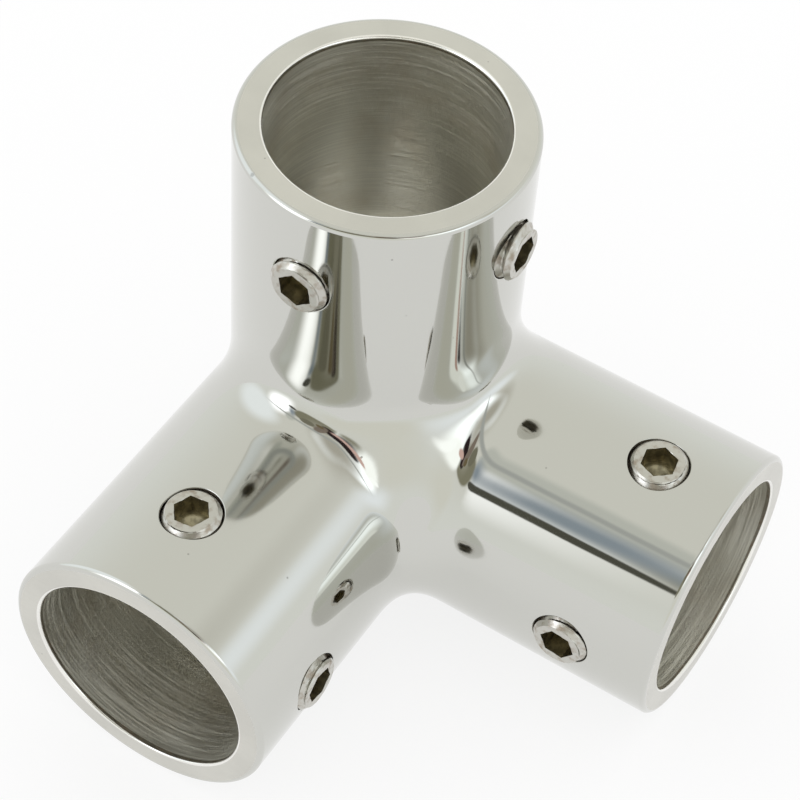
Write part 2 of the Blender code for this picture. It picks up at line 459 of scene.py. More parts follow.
@dataclass
class Casting:
    """The one-piece casting: three sockets, their blends, the bores and the screw holes."""

    wall: float = 3.1 * MM
    rim_rounding: float = 0.6 * MM
    lip_rounding: float = 0.28 * MM
    lip_unevenness: float = 0.25
    bore_depth: float = 28.5 * MM
    stop_ledge: float = 1.5 * MM
    core_relief: float = 0.8 * MM
    hole_radius: float = 3.4 * MM
    hole_edge: float = 0.13 * MM
    thread_pitch: float = 1.27 * MM
    thread_depth: float = 0.35 * MM
    thread_fade: float = 0.12
    hole_band_start: float = 28.0 * MM
    ring_columns: int = 160
    melt_rows: int = 44
    melt_spacing: float = 1.2
    band_rows: int = 26
    rim_rows: int = 8
    face_rows: int = 4
    lip_rows: int = 6
    deep_rows: int = 4
    shoulder_rows: int = 3
    passage_rows: int = 6
    window_columns: int = 18
    window_rows: int = 16
    window_fill_rows: int = 6
    edge_rows: int = 4
    hole_thread_rows: int = 30
    crossing: Vector = field(default_factory=find_crossing)

    def __post_init__(self) -> None:
        """Work out the radii and heights that follow from the frame and the fields."""
        low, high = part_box("corner_casting")
        self.reach = high.x - self.crossing.x
        self.outer_radius = self.crossing.x - low.x
        self.bore_radius = self.outer_radius - self.wall
        self.skin = Skin(self.outer_radius)
        self.band_end = self.reach - self.rim_rounding
        self.stop_height = self.reach - self.bore_depth
        self.passage_radius = self.bore_radius - self.stop_ledge
        self.core_radius = self.passage_radius + self.core_relief
        self.core_height = math.sqrt(self.core_radius**2 - self.passage_radius**2)
        self.core_corner = math.acos(self.core_height / self.passage_radius)

    def ring_angle(self, column: float) -> float:
        """The angle of a column round a socket; the first column lies 90 degrees before the next socket."""
        return math.tau * column / self.ring_columns - math.pi / 2

    def band_height(self, row: float) -> float:
        """The height of a row in the band that holds the screw holes."""
        return blend(self.hole_band_start, self.band_end, row / self.band_rows)

    def window(self, hole: SocketHole) -> Window:
        """Find the cells round one screw hole that the hole's own patches fill.

        Args:
            hole: The screw hole.

        Returns:
            Its window in the band.
        """
        column = round((hole.angle + math.pi / 2) / math.tau * self.ring_columns)
        share = (hole.height - self.hole_band_start) / (self.band_end - self.hole_band_start)
        columns, rows = self.window_columns, self.window_rows
        return Window(column - columns // 2, round(share * self.band_rows) - rows // 2, columns, rows)

    def holes(self, socket: Socket) -> list[SocketHole]:
        """Find the screw holes of a socket.

        Args:
            socket: The socket.

        Returns:
            The holes, in the socket's own frame.
        """
        to_socket = socket.frame(self.crossing).inverted()
        found = []
        for screw in socket.screws():
            outward = to_socket.to_3x3() @ screw.outward()
            height = (to_socket @ box_middle(screw.node)).z
            found.append(SocketHole(math.atan2(outward.y, outward.x), height))
        return found

    def build(self, materials: list[bpy.types.Material]) -> bpy.types.Object:
        """Lay out the whole casting.

        Args:
            materials: One for each finish.

        Returns:
            The finished piece.
        """
        mesh = PatchedMesh("polished_casting")
        for socket in SOCKETS:
            mesh.frame = socket.frame(self.crossing)
            holes = self.holes(socket)
            windows = tuple(self.window(hole) for hole in holes)
            self.add_wall(mesh, windows)
            self.add_mouth(mesh)
            self.add_bore(mesh, windows)
            self.add_passage(mesh)
            for hole, window in zip(holes, windows):
                self.add_hole(mesh, hole, window)
        mesh.frame = Matrix.Translation(self.crossing) @ Matrix((FRONT, RIGHT, TOP)).transposed().to_4x4()
        self.add_outer_corner(mesh)
        self.add_core(mesh)
        return mesh.to_object(materials)

    def add_ring(
        self, mesh: PatchedMesh, rows: int, shape: Shape, finish: Finish, windows: tuple[Window, ...] = ()
    ) -> None:
        """Lay one patch all round a socket.

        Args:
            mesh: The casting's mesh.
            rows: Cells along.
            shape: Gives the spot at an angle round the socket and a share along.
            finish: Chooses the material slot.
            windows: The cells to leave open.
        """
        columns = self.ring_columns
        mesh.patch(
            columns, rows, lambda across, along: shape(self.ring_angle(round(across * columns)), along),
            finish, windows,
        )

    def add_band(
        self, mesh: PatchedMesh, radius: float, side: int, finish: Finish, windows: tuple[Window, ...]
    ) -> None:
        """Lay the stretch of a round wall that holds the screw holes.

        Args:
            mesh: The casting's mesh.
            radius: The wall's radius.
            side: 1 where the wall faces outwards, and -1 where it faces inwards.
            finish: Chooses the material slot.
            windows: The cells round the holes.
        """
        def band(angle: float, along: float) -> Spot:
            """The wall between the rows of the band."""
            return wall_spot(radius, angle, self.band_height(along * self.band_rows), side)

        self.add_ring(mesh, self.band_rows, band, finish, windows)

    def add_wall(self, mesh: PatchedMesh, windows: tuple[Window, ...]) -> None:
        """Lay the outside of a socket, from where it meets the others to the edge of its mouth.

        Args:
            mesh: The casting's mesh.
            windows: The cells round the screw holes.
        """
        starts = {}
        for column in range(self.ring_columns + 1):
            angle = self.ring_angle(column)
            starts[angle] = self.skin.locate(angle, 0, max(math.cos(angle), math.sin(angle), 0.0))[2]

        def melt(angle: float, along: float) -> Spot:
            """The skin that melts into the other sockets, with its rows closest where they meet."""
            return self.skin.spot(angle, blend(starts[angle], self.hole_band_start, along**self.melt_spacing))

        self.add_ring(mesh, self.melt_rows, melt, Finish.POLISHED)
        self.add_band(mesh, self.outer_radius, 1, Finish.POLISHED, windows)

    def lip(self, angle: float) -> float:
        """The rounding of the mouth's inner edge, which was broken by hand and so is uneven."""
        wave = math.sin(2 * angle + 1.0) + 0.6 * math.sin(5 * angle)
        return self.lip_rounding * (1 + self.lip_unevenness * wave)

    def add_mouth(self, mesh: PatchedMesh) -> None:
        """Lay the mouth's rounded outer edge, its flat face, and the broken inner edge.

        Args:
            mesh: The casting's mesh.
        """
        rim_radius = self.outer_radius - self.rim_rounding

        def rolled(angle: float, roll: float, radius: float, rounding: float) -> Spot:
            """A rounded edge of the mouth, at an angle over it from the outside."""
            facing = round_point(math.cos(roll), angle, math.sin(roll))
            return Spot(round_point(radius, angle, self.reach - rounding) + facing * rounding, facing)

        def rim(angle: float, along: float) -> Spot:
            """The outer edge."""
            return rolled(angle, math.pi / 2 * along, rim_radius, self.rim_rounding)

        def face(angle: float, along: float) -> Spot:
            """The flat face."""
            radius = blend(rim_radius, self.bore_radius + self.lip(angle), along)
            return Spot(round_point(radius, angle, self.reach), Vector((0, 0, 1)))

        def lip(angle: float, along: float) -> Spot:
            """The inner edge."""
            rounding = self.lip(angle)
            return rolled(angle, math.pi / 2 * (1 + along), self.bore_radius + rounding, rounding)

        def painted_shade_collar(angle: float, along: float) -> Spot:
            """The start of the bore below the lip, given the darker tapped-thread finish as a painted shaded
            line.
            """
            height = blend(self.reach - self.lip(angle), self.band_end, along)
            return wall_spot(self.bore_radius, angle, height, -1)

        self.add_ring(mesh, self.rim_rows, rim, Finish.POLISHED)
        self.add_ring(mesh, self.face_rows, face, Finish.FACED)
        # Painted highlight: the rounded inner edge catches light, and its much brighter colour than the steel's
        # adds to that, so it reads as a white line.
        self.add_ring(mesh, self.lip_rows, lip, Finish.BRIGHT_LIP_HIGHLIGHT)
        # Painted shade: this ring under the lip takes the darker tapped-thread finish to show a thin dark line.
        self.add_ring(mesh, 1, painted_shade_collar, Finish.TAPPED_AND_SHADE)

    def add_bore(self, mesh: PatchedMesh, windows: tuple[Window, ...]) -> None:
        """Lay the bore, from the shoulder that stops the tube to the mouth.

        Args:
            mesh: The casting's mesh.
            windows: The cells round the screw holes.
        """
        def deep(angle: float, along: float) -> Spot:
            """The bore below the band."""
            return wall_spot(self.bore_radius, angle, blend(self.stop_height, self.hole_band_start, along), -1)

        self.add_band(mesh, self.bore_radius, -1, Finish.BORED, windows)
        self.add_ring(mesh, self.deep_rows, deep, Finish.BORED)

    def passage_angle(self, column: float) -> float:
        """Find the angle of a column round the passage, with columns on the corners of its lower edge.

        Args:
            column: The column, from the first corner.

        Returns:
            The angle, in radians.
        """
        eighth, corner = self.ring_columns * 5 // 16, self.core_corner
        if column <= eighth:
            return blend(-corner, math.pi / 4, column / eighth)
        if column <= 2 * eighth:
            return blend(math.pi / 4, math.pi / 2 + corner, column / eighth - 1)
        share = (column - 2 * eighth) / (self.ring_columns - 2 * eighth)
        return blend(math.pi / 2 + corner, math.tau - corner, share)

    def add_passage(self, mesh: PatchedMesh) -> None:
        """Lay the shoulder that stops the tube, and the passage below it down to the hollow centre.

        Args:
            mesh: The casting's mesh.
        """
        columns, radius = self.ring_columns, self.passage_radius

        def shoulder(across: float, along: float) -> Spot:
            """The flat ring between the bore and the passage, which starts a sixteenth later.

            Args:
                across: The share round the socket.
                along: The share along the patch.

            Returns:
                The spot.
            """
            column = across * columns
            outer = round_point(self.bore_radius, self.ring_angle(column + columns // 16), self.stop_height)
            inner = round_point(radius, self.passage_angle(column), self.stop_height)
            return Spot(outer.lerp(inner, along), Vector((0, 0, 1)))

        def passage(across: float, along: float) -> Spot:
            """The passage's wall, down to where it meets the other passages or the centre.

            Args:
                across: The share round the socket.
                along: The share along the patch.

            Returns:
                The spot.
            """
            angle = self.passage_angle(across * columns)
            bottom = max(radius * math.cos(angle), radius * math.sin(angle), self.core_height)
            return wall_spot(radius, angle, blend(self.stop_height, bottom, along), -1)

        mesh.patch(columns, self.shoulder_rows, shoulder, Finish.BORED)
        mesh.patch(columns, self.passage_rows, passage, Finish.CAST)

    def add_outer_corner(self, mesh: PatchedMesh) -> None:
        """Lay the ball-shaped outer corner.

        Args:
            mesh: The casting's mesh.
        """
        behind, left, below = (-Vector(pole) for pole in ((1, 0, 0), (0, 1, 0), (0, 0, 1)))

        def ball(across: float, along: float) -> Spot:
            """The ball between its three poles."""
            facing = great_arc(behind, great_arc(left, below, across), along)
            return Spot(self.outer_radius * facing, facing)

        mesh.patch(self.ring_columns // 4, self.ring_columns // 4, ball, Finish.POLISHED)

    def add_core(self, mesh: PatchedMesh) -> None:
        """Lay the wall of the hollow centre behind the three passages.

        Args:
            mesh: The casting's mesh.
        """
        edge = self.passage_radius * math.sin(self.core_corner)
        corners = [
            Vector([-edge if axis == pole else self.core_height for axis in range(3)]) for pole in range(3)
        ]

        def passage_edge(pole: int, share: float) -> Vector:
            """A point on the lower edge of one passage, from the next corner to the one after it.

            Args:
                pole: The axis of the passage's socket.
                share: How far along the edge.

            Returns:
                The point.
            """
            angle = blend(math.pi / 2 + self.core_corner, math.tau - self.core_corner, share)
            local = round_point(self.passage_radius, angle, self.core_height)
            return Vector([local[(axis - pole - 1) % 3] for axis in range(3)])

        def core(across: float, along: float) -> Spot:
            """The ball between the three passages' edges.

            Args:
                across: The share from one passage to the next.
                along: The share towards the third.

            Returns:
                The spot.
            """
            far = passage_edge(0, across) - corners[1].lerp(corners[2], across)
            point = passage_edge(2, along).lerp(passage_edge(1, 1 - along), across) + along * far
            facing = -point.normalized()
            return Spot(-facing * self.core_radius, facing)

        mesh.patch(self.ring_columns * 3 // 8, self.ring_columns * 3 // 8, core, Finish.CAST)

    def add_hole(self, mesh: PatchedMesh, hole: SocketHole, window: Window) -> None:
        """Lay a tapped screw hole: the skin round it, its rounded edge, its thread, and the bore round it.

        Args:
            mesh: The casting's mesh.
            hole: The hole.
            window: The cells that its patches fill.
        """
        out = round_point(1, hole.angle, 0)
        side = round_point(1, hole.angle + math.pi / 2, 0)
        middle = Vector((0, 0, hole.height))
        ball_ring = self.hole_radius + self.hole_edge
        ball_radius = self.outer_radius - self.hole_edge
        steps = 2 * (window.columns + window.rows)

        def turn(across: float) -> float:
            """The angle round the hole, from the window's first corner."""
            return math.radians(-135 + 360 * across)

        def rim(roll: float) -> Vector:
            """The direction from the hole's axis at an angle round it."""
            return side * math.cos(roll) + Vector((0, 0, math.sin(roll)))

        def depth_at(wall_radius: float, ring: float, roll: float) -> float:
            """How far out a round wall lies at a radius and an angle round the hole."""
            return math.sqrt(wall_radius**2 - (ring * math.cos(roll))**2)

        def around(across: float, along: float, radius: float, circle: float, reference: float) -> Vector:
            """A point between the window's border and the hole's circle, on a round wall.

            Args:
                across: The share round the hole.
                along: The share from the border to the circle.
                radius: The wall's radius.
                circle: The circle's radius.
                reference: The radius of the wall that the circle lies on.

            Returns:
                The point.
            """
            column, row = window.border(across * steps)
            roll = turn(across)
            end_angle = hole.angle + math.asin(circle * math.cos(roll) / reference)
            end_height = hole.height + circle * math.sin(roll)
            angle = blend(self.ring_angle(column), end_angle, along)
            return round_point(radius, angle, blend(self.band_height(row), end_height, along))

        def skin(across: float, along: float) -> Spot:
            """The skin from the window's border to the edge."""
            point = around(across, along, self.outer_radius, ball_ring, ball_radius)
            return Spot(point, Vector((point.x, point.y, 0)).normalized())

        def edge(across: float, along: float) -> Spot:
            """The edge, rolled from the skin into the hole.

            Args:
                across: The share round the hole.
                along: The share along the patch.

            Returns:
                The spot.
            """
            roll = turn(across)
            ball = out * depth_at(ball_radius, ball_ring, roll) + ball_ring * rim(roll) + middle
            facing = great_arc(Vector((ball.x, ball.y, 0)).normalized(), -rim(roll), along)
            return Spot(ball + self.hole_edge * facing, facing)

        def thread(across: float, along: float) -> Spot:
            """The thread, which fades out at both ends.

            Args:
                across: The share round the hole.
                along: The share along the patch.

            Returns:
                The spot.
            """
            roll = turn(across)
            top = depth_at(ball_radius, ball_ring, roll)
            depth = blend(top, depth_at(self.bore_radius, self.hole_radius, roll), along)
            fade = min(1.0, min(along, 1 - along) / self.thread_fade)
            ridge = abs((depth / self.thread_pitch - roll / math.tau) % 1.0 * 2 - 1)
            radius = self.hole_radius + self.thread_depth * fade * ridge
            return Spot(out * depth + radius * rim(roll) + middle)

        def bore(across: float, along: float) -> Spot:
            """The bore's wall from the hole to the window's border."""
            point = around(across, 1 - along, self.bore_radius, self.hole_radius, self.bore_radius)
            return Spot(point, -Vector((point.x, point.y, 0)).normalized())

        mesh.patch(steps, self.window_fill_rows, skin, Finish.POLISHED)
        mesh.patch(steps, self.edge_rows, edge, Finish.POLISHED)
        mesh.patch(steps, self.hole_thread_rows, thread, Finish.TAPPED_AND_SHADE)
        mesh.patch(steps, self.window_fill_rows, bore, Finish.BORED)


@dataclass
class SetScrew:
    """A 1/4 inch socket set screw with a cup point; z = 0 is its outer face."""

    crest_radius: float = 3.3 * MM
    length: float = 4.76 * MM
    chamfer: float = 0.55 * MM
    pitch: float = 1.27 * MM
    crest_share: float = 0.14
    across_flats: float = 3.6 * MM
    key_depth: float = 2.4 * MM
    countersink_radius: float = 1.84 * MM
    pilot_radius: float = 1.3 * MM
    pilot_slope: float = 0.5
    cup_radius: float = 1.6 * MM
    cup_depth: float = 0.7 * MM
    columns: int = 96
    thread_rows: int = 72
    cup_rows: int = 5
    sharp_angle: float = math.radians(28)

    # The rows and the finish between each two corners: face, countersink, flats, floor and pilot hole
    FACE_BANDS = (
        (3, ScrewFinish.TURNED), (2, ScrewFinish.TURNED), (8, ScrewFinish.PRESSED), (2, ScrewFinish.PRESSED),
        (5, ScrewFinish.PRESSED),
    )

    def hexagon(self, angle: float) -> float:
        """The radius of the hexagon at an angle; its corners lie at multiples of 60 degrees."""
        from_flat = (angle + math.pi / 6) % (math.pi / 3) - math.pi / 6
        return self.across_flats / 2 / math.cos(abs(from_flat) - math.pi / 6)

    def thread(self, angle: float, height: float) -> float:
        """Find the radius of the threaded body, with a chamfer at each end.

        Args:
            angle: The angle round the screw.
            height: The height over its outer face, which is 0 or less.

        Returns:
            The radius there.
        """
        swing = abs((height / self.pitch - angle / math.tau) % 1.0 * 2 - 1)
        share = (swing - self.crest_share) / (1 - 2 * self.crest_share)
        groove = self.crest_radius - self.chamfer * min(max(share, 0.0), 1.0)
        top = self.crest_radius - self.chamfer - height
        return min(groove, top, self.cup_radius + self.length + height)

    def corners(self, angle: float) -> tuple[tuple[float, float], ...]:
        """List the corners of the screw's face and hexagon at an angle.

        Args:
            angle: The angle round the screw.

        Returns:
            Each corner's radius and height, from the edge of the face to the tip of the pilot hole.
        """
        hexagon = self.hexagon(angle)
        return (
            (self.crest_radius - self.chamfer, 0.0),
            (max(self.countersink_radius, hexagon), 0.0),
            (hexagon, min(0.0, hexagon - self.countersink_radius)),
            (hexagon, -self.key_depth),
            (self.pilot_radius, -self.key_depth),
            (0.0, -self.key_depth - self.pilot_slope * self.pilot_radius),
        )

    def build(self, screw: Screw, along: Vector, materials: list[bpy.types.Material]) -> bpy.types.Object:
        """Lay out one screw where its node is.

        Args:
            screw: Which screw.
            along: The direction of its socket.
            materials: One for each finish.

        Returns:
            The finished piece.
        """
        mesh = PatchedMesh(f"threaded_{screw.tag}")
        mesh.frame = screw.frame(along)

        def body(across: float, down: float) -> Spot:
            """The threaded body."""
            angle, height = math.tau * across, -self.length * down
            return Spot(round_point(self.thread(angle, height), angle, height))

        def cup(across: float, inward: float) -> Spot:
            """The cup that bites into the tube."""
            height = self.cup_depth * inward - self.length
            return Spot(round_point(self.cup_radius * (1 - inward), math.tau * across, height))

        mesh.patch(self.columns, self.thread_rows, body, ScrewFinish.TURNED)
        mesh.patch(self.columns, self.cup_rows, cup, ScrewFinish.TURNED)
        for first, (rows, finish) in enumerate(self.FACE_BANDS):
            def band(across: float, share: float, first: int = first) -> Spot:
                """The band between two corners of the face.

                Args:
                    across: The share round the screw.
                    share: The share from the first corner to the next.
                    first: Which corner comes first.

                Returns:
                    The spot.
                """
                angle = math.tau * across
                (radius, height), (next_radius, next_height) = self.corners(angle)[first:first + 2]
                radius = blend(radius, next_radius, share)
                return Spot(round_point(radius, angle, blend(height, next_height, share)))

            mesh.patch(self.columns, rows, band, finish)
        return mesh.to_object(materials, self.sharp_angle)


class Wiring:
    """Adds nodes to one tree and joins them, one call a node."""

    def __init__(self, tree: Tree) -> None:
        """Work on a tree."""
        self.tree = tree

    def node(self, kind: str, inputs: dict | None = None, **settings: object) -> Node:
        """Add a node.

        Args:
            kind: The node's type.
            inputs: A number, a colour, a vector or another node's output for each input's name.
            settings: The node's own settings.

        Returns:
            The new node.
        """
        node = self.tree.nodes.new(kind)
        node.location = (180 * (len(self.tree.nodes) % 12), -220 * (len(self.tree.nodes) // 12))
        for name, value in settings.items():
            setattr(node, name, value)
        self.feed(node, inputs or {})
        return node

    def feed(self, node: Node, inputs: dict) -> None:
        """Join outputs to a node's inputs, or set the inputs' own values.

        Args:
            node: The node.
            inputs: A value or another node's output for each input's name or number.
        """
        for name, value in inputs.items():
            if isinstance(value, Output):
                self.tree.links.new(value, node.inputs[name])
            else:
                node.inputs[name].default_value = value

    def math(self, operation: str, first: object, second: object = 0.0, clamp: bool = False) -> Output:
        """The result of one sum on one or two numbers."""
        return self.node("ShaderNodeMath", {0: first, 1: second}, operation=operation, use_clamp=clamp).outputs[0]

    def total(self, *values: object) -> object:
        """The sum of some numbers."""
        first, *others = values
        for value in others:
            first = self.math("ADD", first, value)
        return first

    def vector(self, operation: str, first: object, second: object) -> bpy.types.bpy_prop_collection:
        """The outputs of a node that works on two vectors."""
        return self.node("ShaderNodeVectorMath", {0: first, 1: second}, operation=operation).outputs

    def noise(self, vector: object, scale: float, detail: float = 2.0, rough: float = 0.5) -> Output:
        """Smooth noise from 0 to 1, with its scale in features a metre."""
        inputs = {"Vector": vector, "Scale": scale, "Detail": detail, "Roughness": rough}
        return self.node("ShaderNodeTexNoise", inputs).outputs["Fac"]

    def spread(self, value: object, low: float, high: float, to_low: float, to_high: float) -> Output:
        """A number moved smoothly from one range to another, and held at its ends."""
        inputs = {"Value": value, "From Min": low, "From Max": high, "To Min": to_low, "To Max": to_high}
        return self.node("ShaderNodeMapRange", inputs, interpolation_type="SMOOTHSTEP").outputs["Result"]

    def mix(self, share: object, first: object, second: object) -> Output:
        """A colour between two others."""
        return self.node("ShaderNodeMix", {0: share, 6: first, 7: second}, data_type="RGBA").outputs[2]

    def group(self, group: Tree, inputs: dict) -> bpy.types.bpy_prop_collection:
        """Place a node group and feed it.

        Args:
            group: The group.
            inputs: A value or another node's output for each input's name.

        Returns:
            The group's outputs.
        """
        node = self.node("ShaderNodeGroup", node_tree=group)
        self.feed(node, inputs)
        return node.outputs


def new_group(name: str, inputs: dict[str, str], outputs: tuple[str, ...]) -> tuple[Tree, Wiring, object]:
    """Start a shader node group.

    Args:
        name: The group's name.
        inputs: The kind of socket for each input's name.
        outputs: The names of its outputs, which are numbers.

    Returns:
        The group, the wiring to fill it with, and what it is given.
    """
    group = bpy.data.node_groups.new(name, "ShaderNodeTree")
    for names, in_out in ((inputs, "INPUT"), (dict.fromkeys(outputs, "Float"), "OUTPUT")):
        for socket, kind in names.items():
            group.interface.new_socket(socket, in_out=in_out, socket_type=f"NodeSocket{kind}")
    wiring = Wiring(group)
    return group, wiring, wiring.node("NodeGroupInput").outputs


@dataclass(frozen=True)
class Effects:
    """The surface effects that more than one finish uses, each a node group built once."""

    swell: Tree
    marks: Tree
    pits: Tree

    @classmethod
    def make(cls) -> "Effects":
        """Build every group."""
        return cls(cls.make_swell(), cls.make_marks(), cls.make_pits())

    @staticmethod
    def make_swell() -> Tree:
        """Build the soft hills and hollows that buffing leaves.

        Returns:
            A group that gives a height in metres.
        """
        inputs = {"Vector": "Vector", "Scale": "Float", "Height": "Float"}
        group, wiring, given = new_group("buffed_swell", inputs, ("Height",))
        broad = wiring.noise(given["Vector"], given["Scale"], detail=1.0)
        height = wiring.math("MULTIPLY", wiring.math("SUBTRACT", broad, 0.5), given["Height"])
        wiring.node("NodeGroupOutput", {"Height": height})
        return group

    @staticmethod
    def make_marks() -> Tree:
        """Build the fine lines that a tool draws out along one direction.

        Returns:
            A group that gives a mask, and a height in metres.
        """
        inputs = {"Vector": "Vector", "Along": "Vector", "Height": "Float", "Sparsity": "Float"}
        group, wiring, given = new_group("tool_marks", inputs, ("Mask", "Height"))
        drawn = wiring.vector("MULTIPLY", given["Vector"], given["Along"])[0]
        lines = wiring.noise(drawn, 1.0, detail=3.0, rough=0.6)
        mask = wiring.math("MULTIPLY", wiring.math("SUBTRACT", lines, given["Sparsity"]), 4.0, clamp=True)
        wiring.node("NodeGroupOutput", {"Mask": mask, "Height": wiring.math("MULTIPLY", mask, given["Height"])})
        return group

    @staticmethod
    def make_pits() -> Tree:
        """Build the scattered small round pits of a casting.

        Returns:
            A group that gives a mask.
        """
        inputs = {"Vector": "Vector", "Scale": "Float", "Share": "Float"}
        group, wiring, given = new_group("casting_pits", inputs, ("Mask",))
        cells = wiring.node("ShaderNodeTexVoronoi", {"Vector": given["Vector"], "Scale": given["Scale"]}).outputs
        draw = wiring.node("ShaderNodeSeparateColor", {"Color": cells["Color"]}).outputs["Red"]
        near = wiring.spread(cells["Distance"], 0.05, 0.12, 1.0, 0.0)
        mask = wiring.math("MULTIPLY", wiring.math("LESS_THAN", draw, given["Share"]), near)
        wiring.node("NodeGroupOutput", {"Mask": mask})
        return group


class Surface(Wiring):
    """The wiring of one metal surface, with the shared effects laid on its own coordinates."""

    def __init__(self, tree: Tree, effects: Effects, follows_wall: bool) -> None:
        """Work on a material's tree.

        Args:
            tree: The tree.
            effects: The shared effects.
            follows_wall: Whether patterns follow the socket or screw rather than the whole object.
        """
        super().__init__(tree)
        self.effects = effects
        if follows_wall:
            self.place = self.node("ShaderNodeAttribute", attribute_name=PatchedMesh.PLACE).outputs["Vector"]
        else:
            self.place = self.node("ShaderNodeTexCoord").outputs["Object"]

    def grain(self, scale: float, detail: float = 2.0, rough: float = 0.5) -> Output:
        """Smooth noise on the surface."""
        return self.noise(self.place, scale, detail, rough)

    def swell(self, scale: float, height: float) -> Output:
        """The height of soft hills and hollows."""
        return self.group(self.effects.swell, {"Vector": self.place, "Scale": scale, "Height": height})["Height"]

    def marks(self, along: tuple[float, float, float], height: float, sparsity: float) -> tuple[Output, Output]:
        """Lay fine lines on the surface.

        Args:
            along: How many there are a metre along each axis.
            height: Their height in metres, or less than 0 for scratches.
            sparsity: The share of the noise that stays clear of them.

        Returns:
            Their mask and their height.
        """
        inputs = {"Vector": self.place, "Along": along, "Height": height, "Sparsity": sparsity}
        outputs = self.group(self.effects.marks, inputs)
        return outputs["Mask"], outputs["Height"]

    def pits(self, scale: float, share: float) -> Output:
        """The mask of pits, of which a share of the cells has one."""
        return self.group(self.effects.pits, {"Vector": self.place, "Scale": scale, "Share": share})["Mask"]

    def bump(self, *heights: object) -> Output:
        """The surface's direction once some heights in metres are laid on it."""
        inputs = {"Height": self.total(*heights), "Distance": 1.0, "Strength": 1.0}
        return self.node("ShaderNodeBump", inputs).outputs["Normal"]


@dataclass(frozen=True)
class Nick:
    """A small dent in the skin: its place in the frame, how far it spreads, and how deep it is."""

    point: Vector
    radius: float
    depth: float


@dataclass(frozen=True)
class MetalFinish:
    """What every finish here has: a metal shader with its own colour and roughness."""

    effects: Effects
    name: str
    colour: tuple[float, float, float]
    roughness: float
    follows_wall: bool = False

    def make(self) -> bpy.types.Material:
        """Build the material.

        Returns:
            The material, dressed with what the finish changes over the surface.
        """
        material = bpy.data.materials.new(self.name)
        material.use_nodes = True
        surface = Surface(material.node_tree, self.effects, self.follows_wall)
        plain = {"Base Color": self.tone(1.0), "Metallic": 1.0, "Roughness": self.roughness}
        surface.feed(material.node_tree.nodes["Principled BSDF"], plain | self.dress(surface))
        return material

    def dress(self, surface: Surface) -> dict[str, Output]:
        """What changes over the surface, for each input of the shader."""
        return {}

    def tone(self, factor: float) -> tuple[float, float, float, float]:
        """The finish's colour, made lighter or darker."""
        return (*(channel * factor for channel in self.colour), 1.0)

    def gloss(self, surface: Surface, value: Output, low: float, high: float, *factors: float) -> Output:
        """The roughness, moved between two factors of its own as a value goes from low to high."""
        return surface.spread(value, low, high, *(self.roughness * factor for factor in factors))


@dataclass(frozen=True)
class Polished(MetalFinish):
    """The mirror-polished outside of the casting."""

    nicks: tuple[Nick, ...] = ()

    def dress(self, surface: Surface) -> dict[str, Output]:
        """Lay buffed swells and lines, pits and nicks on the polish.

        Args:
            surface: The material's wiring.

        Returns:
            What changes, for each input of the shader.
        """
        swell = surface.swell(scale=110.0, height=10 * MICRON)
        peel = surface.swell(scale=900.0, height=0.35 * MICRON)
        _, buffing = surface.marks((900.0, 2600.0, 5200.0), height=-0.12 * MICRON, sparsity=0.56)
        worn = surface.pits(scale=700.0, share=0.02)
        heights = [swell, peel, buffing, surface.math("MULTIPLY", worn, -2 * MICRON)]
        for nick in self.nicks:
            distance = surface.vector("DISTANCE", surface.place, nick.point)["Value"]
            near = surface.spread(distance, nick.radius * 0.35, nick.radius, 1.0, 0.0)
            heights.append(surface.math("MULTIPLY", near, -nick.depth))
            worn = surface.math("MAXIMUM", near, worn)
        haze = self.gloss(surface, surface.grain(60.0, detail=3.0), 0.35, 0.75, 0.7, 1.7)
        return {
            "Base Color": surface.mix(surface.math("MULTIPLY", worn, 0.5), self.tone(1.0), self.tone(0.4)),
            "Roughness": surface.total(haze, surface.math("MULTIPLY", worn, 0.2)),
            "Normal": surface.bump(*heights),
        }


@dataclass(frozen=True)
class Faced(MetalFinish):
    """The satin mouth faces, ground flat on a belt."""

    def dress(self, surface: Surface) -> dict[str, Output]:
        """Lay grinding lines, soft clouds and pits on the face.

        Args:
            surface: The material's wiring.

        Returns:
            What changes, for each input of the shader.
        """
        ground, grind = surface.marks((500.0, 4800.0, 4800.0), height=0.6 * MICRON, sparsity=0.5)
        grain = surface.math("MULTIPLY", surface.grain(6000.0), 0.8 * MICRON)
        cloud = surface.spread(surface.grain(140.0, detail=3.0), 0.3, 0.7, 0.0, 1.0)
        pits = surface.math("MULTIPLY", surface.pits(scale=900.0, share=0.03), 0.6)
        return {
            "Base Color": surface.mix(pits, surface.mix(cloud, self.tone(0.96), self.tone(1.03)), self.tone(0.4)),
            "Roughness": self.gloss(surface, ground, 0.0, 1.0, 0.85, 1.2),
            "Normal": surface.bump(grind, surface.swell(scale=160.0, height=16 * MICRON), grain),
        }


@dataclass(frozen=True)
class Bored(MetalFinish):
    """The bores: turned marks round the wall, scratches, and random brownish patches that paint the brownish
    reflections in the bores.
    """

    painted_reflection_colour: tuple[float, float, float, float] = (0.62, 0.55, 0.44, 1.0)

    def dress(self, surface: Surface) -> dict[str, Output]:
        """Lay turned marks, scratches, grain and brownish painted-reflection patches on the wall.

        Args:
            surface: The material's wiring.

        Returns:
            What changes, for each input of the shader.
        """
        turned, turning = surface.marks((110.0, 110.0, 5200.0), height=3.2 * MICRON, sparsity=0.42)
        _, scratches = surface.marks((190.0, 190.0, 2400.0), height=-9 * MICRON, sparsity=0.6)
        grain = surface.math("MULTIPLY", surface.grain(3500.0), 8 * MICRON)
        # Painted reflection: random brownish patches stand in for the brownish reflections seen in the bores.
        reflection_patches = surface.spread(surface.grain(90.0, detail=4.0, rough=0.6), 0.45, 0.75, 0.0, 0.5)
        return {
            "Base Color": surface.mix(reflection_patches, surface.mix(turned, self.tone(0.92), self.tone(1.08)), self.painted_reflection_colour),
            "Roughness": self.gloss(surface, turned, 0.0, 1.0, 0.8, 1.25),
            "Normal": surface.bump(turning, scratches, grain),
        }


